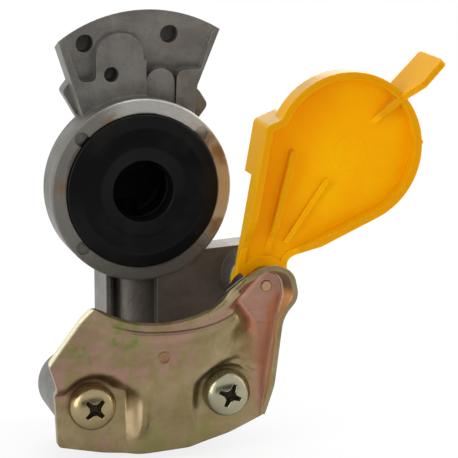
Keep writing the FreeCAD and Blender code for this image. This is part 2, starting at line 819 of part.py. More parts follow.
def pivot_pin():
    shoulder = PAD_W - SHEET - 0.1
    return turned([
        (0, EAR_BACK - 1.6, 0),
        (PIN_R + 1.6, EAR_BACK - 1.6, 0.4),
        (PIN_R + 1.6, EAR_BACK, 0),
        (PIN_R, EAR_BACK, 0),
        (PIN_R, shoulder, 0),
        (PIN_TENON_R, shoulder, 0),
        (PIN_TENON_R, PAD_W + 0.3, 0.3),
        (0, PAD_W + 0.3, 0),
    ], PIVOT)


def disc_spring():
    inner = PIN_R + 0.3
    outer = EAR_BOSS_R - 0.1
    return turned([
        (inner, EAR_BOSS_W + SPRING_H - SPRING_T, 0),
        (outer, EAR_BOSS_W, 0),
        (outer, EAR_BOSS_W + SPRING_T, 0),
        (inner, EAR_BOSS_W + SPRING_H, 0),
    ], PIVOT)


PARTS = {
    "body_casting": body_casting,
    "face_seal": face_seal,
    "claw_plate": claw_plate,
    "plate_screw_left": lambda: pan_screw(SCREW_LEFT, RECESS_TURN_LEFT),
    "plate_screw_right": lambda: pan_screw(SCREW_RIGHT, RECESS_TURN_RIGHT),
    "cover": cover,
    "pivot_pin": pivot_pin,
    "disc_spring": disc_spring,
}

os.makedirs("parts", exist_ok=True)
for name, make in PARTS.items():
    shape = make()
    solids = shape.Solids
    print(name, "solids", len(solids), "valid", shape.isValid(), "volume", round(shape.Volume))
    shape.exportStep("parts/%s.step" % name)
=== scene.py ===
import json
import math

import bmesh
import bpy
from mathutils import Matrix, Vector

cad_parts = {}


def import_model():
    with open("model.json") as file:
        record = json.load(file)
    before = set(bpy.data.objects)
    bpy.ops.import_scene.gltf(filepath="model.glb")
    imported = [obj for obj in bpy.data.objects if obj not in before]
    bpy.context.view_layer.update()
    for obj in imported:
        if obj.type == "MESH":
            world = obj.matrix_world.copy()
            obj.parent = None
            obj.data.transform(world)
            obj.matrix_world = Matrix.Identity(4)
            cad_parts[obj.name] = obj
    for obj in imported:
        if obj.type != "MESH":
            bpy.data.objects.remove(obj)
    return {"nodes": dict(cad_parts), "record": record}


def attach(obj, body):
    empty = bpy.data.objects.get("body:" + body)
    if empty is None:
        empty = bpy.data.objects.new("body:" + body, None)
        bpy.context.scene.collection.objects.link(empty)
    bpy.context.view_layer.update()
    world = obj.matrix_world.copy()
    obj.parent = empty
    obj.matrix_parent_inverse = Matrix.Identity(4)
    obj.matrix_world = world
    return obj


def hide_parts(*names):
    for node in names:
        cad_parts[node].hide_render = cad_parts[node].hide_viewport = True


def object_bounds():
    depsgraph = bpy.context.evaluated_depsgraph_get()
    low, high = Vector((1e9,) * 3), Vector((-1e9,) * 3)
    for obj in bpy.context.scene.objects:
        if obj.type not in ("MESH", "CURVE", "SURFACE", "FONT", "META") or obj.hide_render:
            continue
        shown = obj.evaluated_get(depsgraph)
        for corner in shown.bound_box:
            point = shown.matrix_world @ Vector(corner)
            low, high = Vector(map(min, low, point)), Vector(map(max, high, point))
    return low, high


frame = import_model()
CAD_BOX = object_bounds()

MM = 0.001

# The camera of the photograph, placed from the seal's axis at the ring's face
VIEW_LEFT = math.radians(17.0)
VIEW_UP = math.radians(13.0)
VIEW_DISTANCE = 0.55
PIXELS_PER_MM = 4.0
IMAGE_WIDE = 458
RING_PIXEL = (143.0, 191.0)
SENSOR = 36.0

# Places on the object, in metres, as points or as radii about the seal's axis
SEAL_EDGE_R = 0.0194
# Depth of the painted highlight line on the lip round the bore
BORE_LIP_Y = 0.0055
# Direction in x and z towards which the ring face's painted reflection grows lighter
LIT_SIDE = (0.8, 0.6)
TURNED_LINES = 0.00022
DIMPLE = (0.0007, -0.017, -0.0388)
DISH_MARK = (0.0513, -0.0093, 0.0085)
# Centre of the painted highlight on the bead's flank
BEAD_FLANK = (-0.0064, -0.0135, -0.0555)

# Studio, in metres: the floor, how white it turns by distance, and the dark card
FLOOR_Z = CAD_BOX[0][2]
FLOOR_GAP = 0.0002
FLOOR_WHITE = (0.2, 0.6, 0.8, 1.0)
CARD_Y = -0.62
CARD_CORNERS = ((-0.45, -1.6), (0.42, -1.6), (0.42, 0.15), (-0.45, 0.15))

# Screw heads, in millimetres; heights are counted from the plate
PLATE_W = 12.0
HEAD_R = 6.0
HEAD_SKIRT = 0.8
HEAD_DOME = 3.6
SHANK_R = 3.0
SHANK_TIP = -16.0
RECESS_REACH = 3.1
RECESS_HALF = 0.62
RECESS_CORE = 1.5
RECESS_DEEP = 2.4
RECESS_FLARE = 0.4
RECESS_TAPER = 0.3
RECESS_SHARE = 0.85
RECESS_RISE = 0.45
RECESS_STEEP = 4.0
DOME_POWER = 0.8
DOME_RINGS = 90
SECTORS = 200
SCREW_PLACES = ((-16.8, -50.9), (18.0, -50.4))
SCREW_TURNS = (45.0, 66.0)

# Claw plate as the solid has it, in millimetres
RAISE = 5.0
PAD_R = 7.4
PAD_RUN = 1.9
PAD_CORNERS = ((-8.2, -47.4), (10.7, -46.3))
PAD_CORNER_R = 1.0
WING_CREASE = ((21.2, -27.1), (26.3, -33.4))
WING_CREASE_RUN = 3.0
SIDE_X = 27.4
SIDE_RUN = 8.0
FALL_DOWN = (41.0, 62.0)
FALL_SHARE = 0.85
BEAD_DOWN = (55.0, 62.5)
BEAD_CREST = 0.4
PLAIN_BEAD_X = -6.1
PLAIN_BEAD_HALF = 2.4
SPLINE_SPANS = ((-32.0, 36.0, 52), (-68.0, -14.0, 42))
ARC_FRONT = 17.0
ARC_LIP_R = 34.0
ARC_LIP_RUN = 4.5
ARC_LIP_RISE = 2.2
ARC_LIP_MOST = 1.4
FLANGE_START = (10.0, -29.1)
FLANGE_SLOPE = 0.667
FLANGE_COSINE = 0.832
PIVOT = (28.6, -23.6)

# Claw plate as the finer sheet has it, in millimetres
BEAD_X = -4.5
BEAD_HALF = 2.8
BEAD_SHARE = 0.5
BEAD_WALL_RUN = 3.5
BEAD_WALL_DOWN = (46.0, 49.0)
BEAD_AREA = ((-11.5, -10.0), (0.5, 2.5), (45.5, 48.0))
SIDE_RUN_MORE = 7.0
SIDE_DOWN = (29.0, 38.0)
TENON_R = 1.38
TENON_HOLE = 1.6

# Mesh of the finer sheet: two lengths in metres, a change in millimetres, an angle in degrees
SAME_PLACE = 1e-6
LONG_EDGE = 0.0009
SMALL_CHANGE = 0.01
CREASE_ANGLE = 40.0

# Rim: the finer sheet's flange between the claw's arc and the wing, in millimetres
RIM_LIFT = 1.35
RIM_FOOT = 10.5
RIM_TOP = 16.6
RIM_MOST = 18.88
RIM_START = (20.0, 20.6)
RIM_END = (23.3, 28.6)
RIM_INWARD = (2.2, 5.5)
RIM_LINE = (
    (11.2, -28.05), (12.4, -27.2), (13.4, -26.4), (14.4, -25.6), (15.5, -24.7),
    (16.6, -23.8), (17.7, -22.95), (18.7, -22.2), (19.5, -21.6), (20.2, -21.05),
    (20.8, -20.65), (21.2, -20.4), (21.9, -19.95),
)
RIM_EDGE = ((0.0, 0.35), (0.12, 0.12), (0.35, 0.0), (1.35, 0.0))
RIM_FULL = 2.7
RIM_STEP = 0.3

# Sizes of the rim along x: the value at the left, how much is added, and where
RIM_DEEP = (2.6, 2.6, (17.0, 20.8))
RIM_FALL = (0.25, 4.3, (18.6, 20.9))
RIM_WIDE = (1.0, -0.5, (20.9, 21.4))
RIM_DIP = (0.0, 0.45, (17.5, 21.2))


def camera():
    """The photograph's camera, aimed so that the ring lies where the photograph has it."""
    forward = Vector((
        math.sin(VIEW_LEFT) * math.cos(VIEW_UP),
        math.cos(VIEW_LEFT) * math.cos(VIEW_UP),
        -math.sin(VIEW_UP),
    ))
    right = Vector((math.cos(VIEW_LEFT), -math.sin(VIEW_LEFT), 0.0))
    up = right.cross(forward)
    middle = IMAGE_WIDE / 2
    across = (RING_PIXEL[0] - middle) / PIXELS_PER_MM * MM
    above = (middle - RING_PIXEL[1]) / PIXELS_PER_MM * MM
    data = bpy.data.cameras.new("camera")
    data.sensor_width = SENSOR
    data.lens = SENSOR * PIXELS_PER_MM * VIEW_DISTANCE / MM / IMAGE_WIDE
    data.clip_start = 0.01
    eye = bpy.data.objects.new("camera", data)
    eye.location = -(right * across + up * above + forward * VIEW_DISTANCE)
    eye.rotation_euler = forward.to_track_quat("-Z", "Y").to_euler()
    bpy.context.scene.collection.objects.link(eye)
    bpy.context.scene.camera = eye


# Materials: node trees in each piece's own coordinates, in metres

class Tree:
    """Adds shader nodes to a new material and joins them."""

    def __init__(self, name):
        self.material = bpy.data.materials.new(name)
        self.material.use_nodes = True
        self.nodes = self.material.node_tree.nodes
        self.links = self.material.node_tree.links
        self.nodes.clear()
        output = self.nodes.new("ShaderNodeOutputMaterial")
        self.shader = self.nodes.new("ShaderNodeBsdfPrincipled")
        self.join(self.shader.outputs[0], output.inputs[0])
        self.place = self.nodes.new("ShaderNodeTexCoord").outputs["Object"]
        split = self.nodes.new("ShaderNodeSeparateXYZ")
        self.join(self.place, split.inputs[0])
        self.x, self.y, self.z = split.outputs

    def join(self, source, target):
        self.links.new(source, target)

    def feed(self, slot, value):
        """Sets a slot to a number or colour, or joins it to another node's output."""
        if isinstance(value, tuple):
            slot.default_value = (*value, 1.0) if len(slot.default_value) == 4 else value
        elif isinstance(value, (int, float)):
            slot.default_value = value
        else:
            self.join(value, slot)

    def shade(self, **values):
        """Sets or joins the shader's inputs, named with underscores for spaces."""
        for key, value in values.items():
            self.feed(self.shader.inputs[key.replace("_", " ")], value)

    def math(self, kind, first, second=0.0):
        node = self.nodes.new("ShaderNodeMath")
        node.operation = kind
        self.feed(node.inputs[0], first)
        self.feed(node.inputs[1], second)
        return node.outputs[0]

    def mix(self, share, first, second):
        """The first colour where share is 0, the second where it is 1."""
        node = self.nodes.new("ShaderNodeMix")
        node.data_type = "RGBA"
        self.feed(node.inputs[0], share)
        self.feed(node.inputs[6], first)
        self.feed(node.inputs[7], second)
        return node.outputs[2]

    def fade(self, value, low, high, at_low=0.0, at_high=1.0):
        """Goes smoothly from at_low to at_high while the value goes from low to high."""
        node = self.nodes.new("ShaderNodeMapRange")
        node.interpolation_type = "SMOOTHSTEP"
        for slot, number in zip(node.inputs[:5], (value, low, high, at_low, at_high)):
            self.feed(slot, number)
        return node.outputs[0]

    def noise(self, scale, detail=4.0, rough=0.6):
        node = self.nodes.new("ShaderNodeTexNoise")
        node.inputs["Scale"].default_value = scale
        node.inputs["Detail"].default_value = detail
        node.inputs["Roughness"].default_value = rough
        self.join(self.place, node.inputs["Vector"])
        return node.outputs["Fac"]

    def shaken(self, scale, reach):
        """The piece's own coordinates, moved about by noise up to reach."""
        node = self.nodes.new("ShaderNodeTexNoise")
        node.inputs["Scale"].default_value = scale
        node.inputs["Detail"].default_value = 5.0
        self.join(self.place, node.inputs["Vector"])
        centred = self.nodes.new("ShaderNodeVectorMath")
        centred.operation = "SUBTRACT"
        self.join(node.outputs["Color"], centred.inputs[0])
        centred.inputs[1].default_value = (0.5, 0.5, 0.5)
        sized = self.nodes.new("ShaderNodeVectorMath")
        sized.operation = "MULTIPLY_ADD"
        self.join(centred.outputs[0], sized.inputs[0])
        sized.inputs[1].default_value = (reach, reach, reach)
        self.join(self.place, sized.inputs[2])
        return sized.outputs[0]

    def distance(self, centre, place=None):
        """Distance from a point in the piece's own coordinates."""
        node = self.nodes.new("ShaderNodeVectorMath")
        node.operation = "DISTANCE"
        self.join(place or self.place, node.inputs[0])
        node.inputs[1].default_value = centre
        return node.outputs["Value"]

    def spot(self, centre, radius, soft, place=None):
        """1 within radius of centre, fading to 0 over soft."""
        return self.fade(self.distance(centre, place), radius, radius + soft, 1.0, 0.0)

    def spots(self, rows, place):
        """1 within any of the (centre, radius, soft) spots."""
        return self.either(*[self.spot(*row, place) for row in rows])

    def facing(self):
        """The x, y and z of the surface's direction."""
        split = self.nodes.new("ShaderNodeSeparateXYZ")
        self.join(self.nodes.new("ShaderNodeNewGeometry").outputs["Normal"], split.inputs[0])
        return split.outputs

    def radius(self, x=0.0, z=0.0):
        """Distance from the line through x and z along Y."""
        squares = []
        for value, middle in ((self.x, x), (self.z, z)):
            away = self.math("SUBTRACT", value, middle)
            squares.append(self.math("MULTIPLY", away, away))
        return self.math("SQRT", self.math("ADD", *squares))

    def ring(self, radius, middle, half):
        """1 where the radius is near middle, fading to 0 at half on each side."""
        return self.fade(self.math("ABSOLUTE", self.math("SUBTRACT", radius, middle)), 0.0, half, 1.0, 0.0)

    def both(self, first, second):
        """Product of two shares."""
        return self.math("MULTIPLY", first, second)

    def either(self, *shares):
        """The largest of the shares."""
        total = shares[0]
        for share in shares[1:]:
            total = self.math("MAXIMUM", total, share)
        return total

    def relief(self, layers, edge=0.0):
        """Bump from (height, depth) layers over edges rounded by edge."""
        normal = None
        if edge:
            bevel = self.nodes.new("ShaderNodeBevel")
            bevel.samples = 6
            bevel.inputs["Radius"].default_value = edge
            normal = bevel.outputs[0]
        for height, depth in layers:
            node = self.nodes.new("ShaderNodeBump")
            node.inputs["Distance"].default_value = depth
            self.join(height, node.inputs["Height"])
            if normal:
                self.join(normal, node.inputs["Normal"])
            normal = node.outputs[0]
        self.join(normal, self.shader.inputs["Normal"])


def cast_skin(tree, grain, blotch, radius):
    """Colour of the raw casting: browner at the lower right, and painted shade, near black, inside the
    chamber.
    """
    skin = tree.mix(tree.fade(blotch, 0.35, 0.65), (0.15, 0.14, 0.125), (0.215, 0.205, 0.185))
    skin = tree.mix(tree.both(tree.fade(grain, 0.5, 0.7), 0.35), skin, (0.3, 0.29, 0.27))
    low_right = tree.spot((0.018, 0.004, -0.03), 0.012, 0.016, tree.shaken(150.0, 0.01))
    skin = tree.mix(tree.both(low_right, 0.45), skin, (0.115, 0.085, 0.055))
    # Painted shade: inside the chamber the casting is coloured near black
    inside = tree.both(tree.fade(tree.y, 0.006, 0.011), tree.fade(radius, 0.0155, 0.0165, 1.0, 0.0))
    inside = tree.both(inside, tree.fade(tree.y, 0.0205, 0.021, 1.0, 0.0))
    return tree.mix(inside, skin, (0.012, 0.012, 0.012))


def ring_face(tree, radius):
    """Colour of the turned ring face: painted reflection lighter towards the upper right and darker at the
    left, and stained in spots; also gives the lit side's share.
    """
    cloud = tree.noise(60.0, 3.0, 0.5)
    toward = tree.math("ADD", tree.both(tree.x, LIT_SIDE[0]), tree.both(tree.z, LIT_SIDE[1]))
    share = tree.math("DIVIDE", toward, radius)
    share = tree.math("ADD", share, tree.both(tree.math("SUBTRACT", cloud, 0.5), 0.5))
    # Painted reflection: the face's colour goes from dark at the left to light at the upper right, broken
    # by noise
    lit_side = tree.fade(share, 0.1, 0.45)
    color = tree.mix(lit_side, (0.17, 0.16, 0.14), (0.44, 0.43, 0.39))
    stain = tree.spots((
        ((0.0165, 0.0, 0.0125), 0.0012, 0.0022),
        ((0.0205, 0.0, 0.0085), 0.0010, 0.0030),
        ((0.0185, 0.0, -0.0100), 0.0008, 0.0026),
        ((-0.0085, 0.0, 0.0190), 0.0004, 0.0020),
        ((-0.0205, 0.0, 0.0020), 0.0004, 0.0022),
    ), tree.shaken(260.0, 0.005))
    color = tree.mix(tree.both(stain, 0.75), color, (0.2, 0.115, 0.045))
    uneven = tree.math("ADD", radius, tree.both(tree.math("SUBTRACT", cloud, 0.5), 0.004))
    edge_dirt = tree.fade(uneven, SEAL_EDGE_R + 0.0001, SEAL_EDGE_R + 0.0007, 1.0, 0.0)
    return tree.mix(tree.both(edge_dirt, 0.6), color, (0.06, 0.045, 0.03)), lit_side


def cast_aluminium():
    """Grey casting with a turned ring face."""
    tree = Tree("cast_aluminium")
    grain = tree.noise(2400.0, 4.0, 0.7)
    blotch = tree.noise(120.0, 6.0, 0.65)
    radius = tree.radius()
    skin = cast_skin(tree, grain, blotch, radius)
    # The ring face's colour holds painted reflection besides its stains and the dirt at the seal's edge
    worn, lit_side = ring_face(tree, radius)
    front = tree.fade(tree.y, 0.0012, 0.0018, 1.0, 0.0)
    face = tree.both(front, tree.fade(radius, 0.0236, 0.0242, 1.0, 0.0))
    # The turned face on its lit side, made fully metallic, smoother and finely grooved
    lit_turned_face = tree.both(face, lit_side)
    tree.shade(Base_Color=tree.mix(face, skin, worn), Metallic=tree.fade(lit_turned_face, 0.0, 1.0, 0.75, 1.0))
    tree.shade(Roughness=tree.fade(lit_turned_face, 0.0, 1.0, 0.5, 0.3))
    lines = tree.math("SINE", tree.math("MULTIPLY", radius, 2 * math.pi / TURNED_LINES))
    fine = tree.both(lines, lit_turned_face)
    tree.relief([(grain, 0.00009), (blotch, 0.0004), (fine, 0.000008)], edge=0.00035)
    return tree.material


def seal_rubber():
    """Black rubber with a fine film and pale specks, and a painted highlight line on the lip round the
    bore.
    """
    tree = Tree("seal_rubber")
    specks = tree.fade(tree.noise(620.0, 1.0, 0.5), 0.83, 0.86)
    film = tree.fade(tree.noise(90.0, 4.0), 0.45, 0.7)
    color = tree.mix(film, (0.0045, 0.0045, 0.005), (0.009, 0.0075, 0.006))
    near_bore = tree.fade(tree.radius(), 0.0082, 0.0086, 1.0, 0.0)
    # Painted highlight: a pale line round the bore's lip, which also gets a small bump
    lip = tree.both(tree.ring(tree.y, BORE_LIP_Y, 0.0004), near_bore)
    color = tree.mix(lip, color, (0.06, 0.058, 0.055))
    tree.shade(Base_Color=tree.mix(specks, color, (0.5, 0.5, 0.48)))
    tree.shade(Roughness=tree.fade(film, 0.0, 1.0, 0.3, 0.42), Specular_IOR_Level=0.1)
    tree.relief([(tree.noise(260.0, 3.0), 0.00008), (lip, 0.0003)])
    return tree.material


def pink_patches(tree, color, mottle, moved):
    """Pink sheen of the zinc plating, in patches and along the claw's arc."""
    pink = tree.spots((
        ((-0.012, -0.016, -0.034), 0.008, 0.008),
        ((-0.024, -0.014, -0.043), 0.004, 0.006),
        ((0.002, -0.017, -0.036), 0.004, 0.008),
        ((-0.014, -0.012, -0.0615), 0.0005, 0.004),
    ), moved)
    pink = tree.both(pink, tree.fade(mottle, 0.38, 0.55))
    ends = tree.both(tree.fade(tree.x, -0.004, 0.004), tree.fade(tree.x, 0.019, 0.0215, 1.0, 0.0))
    pink = tree.either(pink, tree.both(tree.ring(tree.radius(), 0.0325, 0.0022), ends))
    return tree.mix(tree.both(pink, 0.68), color, (0.345, 0.19, 0.16))


def green_patches(tree, color, mottle, moved):
    """Green and olive sheen of the zinc plating."""
    green = tree.spots((
        ((-0.017, -0.017, -0.0275), 0.0035, 0.004),
        ((-0.0085, -0.017, -0.0305), 0.0035, 0.003),
        ((-0.021, -0.017, -0.037), 0.001, 0.003),
        ((0.020, -0.015, -0.035), 0.001, 0.003),
    ), moved)
    green = tree.both(green, tree.fade(mottle, 0.35, 0.52, 1.0, 0.3))
    color = tree.mix(tree.both(green, 0.95), color, (0.17, 0.2, 0.05))
    olive = tree.spots((
        ((-0.001, -0.013, -0.0625), 0.002, 0.004),
        ((0.012, -0.015, -0.060), 0.001, 0.005),
    ), moved)
    return tree.mix(tree.both(olive, 0.5), color, (0.24, 0.24, 0.07))


def wing_floor(tree, color):
    """Pinkish brown on the low part of the wing, round the pin."""
    wing = tree.either(
        tree.spot((0.029, -0.012, -0.026), 0.0095, 0.003),
        tree.both(tree.fade(tree.x, 0.0235, 0.0275), tree.fade(tree.z, -0.06, -0.05)),
    )
    wing = tree.both(wing, tree.fade(tree.y, -0.0138, -0.0126))
    return tree.mix(tree.both(wing, 0.9), color, (0.46, 0.25, 0.19))


def flange_inside(tree, color, across, up):
    """The flange's inner wall: painted shade in brown at the top, painted reflected light in orange below,
    and a painted highlight along its foot.
    """
    lip = tree.both(tree.fade(tree.y, -0.0128, -0.0122, 1.0, 0.0), tree.fade(tree.x, 0.0262, 0.0272))
    lip = tree.both(lip, tree.fade(across, -0.6, -0.3, 1.0, 0.0))
    lip = tree.both(lip, tree.fade(up, 0.65, 0.85, 1.0, 0.0))
    # Painted light and shade: orange on the wall's lower part, brown on its upper part
    lit = tree.fade(tree.z, -0.0262, -0.0232, 1.0, 0.0)
    lit = tree.both(lit, tree.fade(tree.z, -0.038, -0.033, 0.6, 1.0))
    color = tree.mix(lip, color, tree.mix(lit, (0.2, 0.13, 0.075), (0.85, 0.43, 0.16)))
    # Painted highlight: a pale line along the wall's foot
    foot = tree.both(lip, tree.fade(tree.y, -0.0134, -0.0128))
    return tree.mix(foot, color, (0.85, 0.75, 0.6)), lip


def flange_outside(tree, color, up):
    """The flange's outer wall above the wing: painted shade, with a painted highlight line near its edge.
    """
    above = tree.fade(tree.math("SUBTRACT", tree.z, tree.both(tree.x, FLANGE_SLOPE)), -0.0381, -0.0377)
    wall = tree.both(tree.fade(up, 0.3, 0.5), tree.both(above, tree.fade(tree.x, 0.013, 0.016)))
    wall = tree.both(wall, tree.fade(tree.y, -0.0165, -0.0161))
    # Painted shade: the outer wall is coloured dark
    color = tree.mix(wall, color, (0.085, 0.065, 0.045))
    # Painted highlight: a pale line near the wall's edge
    rim_highlight = tree.both(wall, tree.ring(tree.y, -0.0152, 0.0006))
    return tree.mix(rim_highlight, color, (0.85, 0.82, 0.75))


def marks_and_highlights(tree, color, across):
    """The dimple, a painted highlight along the upper left edge, a painted highlight on the bead's flank,
    and dull grey patches.
    """
    color = tree.mix(tree.both(tree.spot(DIMPLE, 0.001, 0.001), 0.6), color, (0.26, 0.12, 0.07))
    # Painted highlight: a pale band along the plate's upper left edge
    edge = tree.math("SUBTRACT", tree.both(tree.x, 0.794), tree.both(tree.z, 0.607))
    edge = tree.fade(edge, 0.0008, 0.0013, 1.0, 0.0)
    edge = tree.both(edge, tree.fade(tree.x, -0.017, -0.0165, 1.0, 0.0))
    color = tree.mix(edge, color, (0.85, 0.8, 0.55))
    # Painted highlight: the bead's flank that faces left is coloured pale
    flank = tree.both(tree.spot(BEAD_FLANK, 0.0045, 0.003), tree.fade(across, -0.5, -0.12, 1.0, 0.0))
    color = tree.mix(tree.both(flank, 0.65), color, (0.85, 0.64, 0.38))
    dull = tree.fade(tree.noise(240.0, 5.0, 0.7), 0.58, 0.72)
    return tree.mix(tree.both(dull, 0.35), color, (0.3, 0.3, 0.26))


def arc_groove(tree):
    """The crease along the claw's arc, as a line fading out at both ends."""
    middle = tree.fade(tree.x, -0.002, 0.022, 0.0322, 0.0348)
    away = tree.math("ABSOLUTE", tree.math("SUBTRACT", tree.radius(), middle))
    ends = tree.both(tree.fade(tree.x, -0.016, -0.004), tree.fade(tree.x, 0.0195, 0.0215, 1.0, 0.0))
    return tree.both(tree.fade(away, 0.0, 0.0007, 1.0, 0.0), ends)


def zinc_sheet():
    """Yellow zinc plating with coloured sheens, on the pressed plate."""
    tree = Tree("zinc_sheet")
    moved = tree.shaken(130.0, 0.012)
    patches = tree.noise(95.0, 5.0, 0.62)
    mottle = tree.noise(260.0, 4.0, 0.6)
    fine = tree.noise(900.0, 4.0, 0.7)
    across, _, up = tree.facing()
    color = tree.mix(tree.fade(patches, 0.4, 0.62), (0.255, 0.195, 0.09), (0.31, 0.24, 0.125))
    color = tree.mix(tree.both(tree.fade(mottle, 0.45, 0.65), 0.4), color, (0.36, 0.29, 0.17))
    color = wing_floor(tree, pink_patches(tree, color, mottle, moved))
    color, lip = flange_inside(tree, color, across, up)
    color = green_patches(tree, flange_outside(tree, color, up), mottle, moved)
    color = marks_and_highlights(tree, color, across)
    tree.shade(Base_Color=color, Metallic=tree.fade(lip, 0.0, 1.0, 0.9, 0.5))
    tree.shade(Roughness=tree.fade(fine, 0.3, 0.7, 0.3, 0.42))
    dimple = tree.ring(tree.distance(DIMPLE), 0.0014, 0.0005)
    layers = [(fine, 0.00003), (patches, 0.0003), (dimple, 0.0001), (arc_groove(tree), -0.0004)]
    tree.relief(layers, edge=0.0005)
    return tree.material


def zinc_screw():
    """Zinc plating of the screws, greyer to the right, with painted shade inside the recess."""
    tree = Tree("zinc_screw")
    grey = tree.fade(tree.x, -0.004, 0.006)
    color = tree.mix(grey, (0.33, 0.255, 0.13), (0.34, 0.325, 0.225))
    blotch = tree.fade(tree.noise(330.0, 4.0, 0.6), 0.42, 0.66)
    color = tree.mix(tree.both(blotch, 0.3), color, (0.38, 0.35, 0.23))
    left, right = [tree.radius(x * MM, z * MM) for x, z in SCREW_PLACES]
    near_axis = tree.fade(tree.math("MINIMUM", left, right), 0.0032, 0.0034, 1.0, 0.0)
    top = -(PLATE_W + HEAD_SKIRT + HEAD_DOME) * MM
    # Painted shade: the recess is coloured near black, and made less metallic and rougher
    sunk = tree.both(near_axis, tree.fade(tree.y, top + 0.0008, top + 0.0013))
    color = tree.mix(sunk, color, (0.035, 0.02, 0.01))
    tree.shade(Base_Color=color, Metallic=tree.fade(sunk, 0.0, 1.0, 1.0, 0.4))
    rough = tree.fade(sunk, 0.0, 1.0, 0.22, 0.6)
    tree.shade(Roughness=tree.math("ADD", tree.both(blotch, 0.07), rough))
    tree.relief([(tree.noise(1300.0, 4.0), 0.00002)])
    return tree.material


def cover_plastic():
    """Translucent amber moulding, deeper near the arm, with painted light: faces deep in it that look to
    the front are brighter than its other faces, and a painted reflection makes its upper upward faces
    paler.
    """
    tree = Tree("cover_plastic")
    cloud = tree.noise(70.0, 4.0)
    near_arm = tree.fade(tree.math("SUBTRACT", tree.x, tree.both(tree.z, 0.35)), 0.034, 0.046, 1.0, 0.0)
    color = tree.mix(tree.fade(cloud, 0.35, 0.65), (0.98, 0.47, 0.0), (0.99, 0.52, 0.0))
    color = tree.mix(tree.both(near_arm, 0.5), color, (0.99, 0.36, 0.0))
    _, along, up = tree.facing()
    # Painted light: front-facing faces deep in the cover keep the bright amber as if lit through; the other
    # faces get a darker amber
    lit_front_faces = tree.both(tree.fade(along, -0.9, -0.6, 1.0, 0.0), tree.fade(tree.y, -0.0108, -0.0098))
    color = tree.mix(lit_front_faces, (0.74, 0.36, 0.002), color)
    # Painted reflection: upward faces in the upper part are coloured a paler, duller amber, less so on the
    # tab
    top_reflection = tree.both(tree.fade(up, 0.6, 0.85), tree.fade(tree.x, 0.055, 0.06, 1.0, 0.3))
    top_reflection = tree.both(top_reflection, tree.fade(tree.z, 0.01, 0.014))
    color = tree.mix(top_reflection, color, (0.6, 0.36, 0.11))
    tree.shade(Base_Color=color, Roughness=0.32, Specular_IOR_Level=0.04)
    tree.shade(Subsurface_Weight=0.7, Subsurface_Scale=0.0018)
    tree.shader.inputs["Subsurface Radius"].default_value = (1.0, 0.4, 0.01)
    mark = tree.ring(tree.radius(DISH_MARK[0], DISH_MARK[2]), 0.0045, 0.0006)
    tree.relief([(tree.noise(300.0, 4.0), 0.00006), (mark, 0.00008)], edge=0.0003)
    return tree.material


def pin_steel():
    """Bright steel, browner on the pin's closed end in the wing."""
    tree = Tree("pin_steel")
    worn = tree.fade(tree.noise(500.0, 5.0, 0.65), 0.4, 0.65)
    color = tree.mix(worn, (0.5, 0.48, 0.44), (0.64, 0.63, 0.6))
    plated = tree.fade(tree.y, -0.0112, -0.0108, 1.0, 0.0)
    tree.shade(Base_Color=tree.mix(plated, color, (0.56, 0.36, 0.2)), Metallic=1.0)
    tree.shade(Roughness=tree.fade(plated, 0.0, 1.0, 0.2, 0.4))
    tree.relief([(tree.noise(1500.0, 3.0), 0.00003)], edge=0.0002)
    return tree.material


FINISHES = {
    "cast_aluminium": cast_aluminium,
    "seal_rubber": seal_rubber,
    "zinc_sheet": zinc_sheet,
    "zinc_screw": zinc_screw,
    "cover_plastic": cover_plastic,
    "pin_steel": pin_steel,
}


def dress_nodes():
    """Gives each solid the material of its slot."""
    made = {name: make() for name, make in FINISHES.items()}
    for row in frame["record"]["subparts"]:
        piece = frame["nodes"][row["node"]]
        piece.data.materials.clear()
        piece.data.materials.append(made[row["material_slot"]])
    return made


# Screws: smooth pan heads with a cross recess, in place of the plain ones

def recess_depth(across, along):
    """Depth of the cross recess at a place on the head, from its axis."""
    radius = math.hypot(across, along)
    inside = RECESS_CORE - radius
    for run, side in ((abs(across), abs(along)), (abs(along), abs(across))):
        flare = max(0.0, RECESS_CORE - RECESS_TAPER * run) * (1.0 - min(1.0, run / RECESS_REACH))
        half = RECESS_HALF + RECESS_FLARE * flare
        inside = max(inside, min(RECESS_REACH - run, half * RECESS_SHARE - side))
    bottom = RECESS_DEEP * (1.0 - RECESS_RISE * radius / RECESS_REACH)
    return max(0.0, min(bottom, RECESS_STEEP * inside))


def screw_rings():
    """Radii and heights from the middle of the head over its dome to the shank's tip."""
    rings = []
    for i in range(1, DOME_RINGS + 1):
        turn = math.pi / 2 * i / DOME_RINGS
        rings.append((HEAD_R * math.sin(turn) ** DOME_POWER, HEAD_SKIRT + HEAD_DOME * math.cos(turn)))
    rings += [(HEAD_R, 0.3), (HEAD_R - 0.1, 0.0), (SHANK_R, 0.0), (SHANK_R, SHANK_TIP + 0.6)]
    return rings + [(SHANK_R - 0.6, SHANK_TIP)]


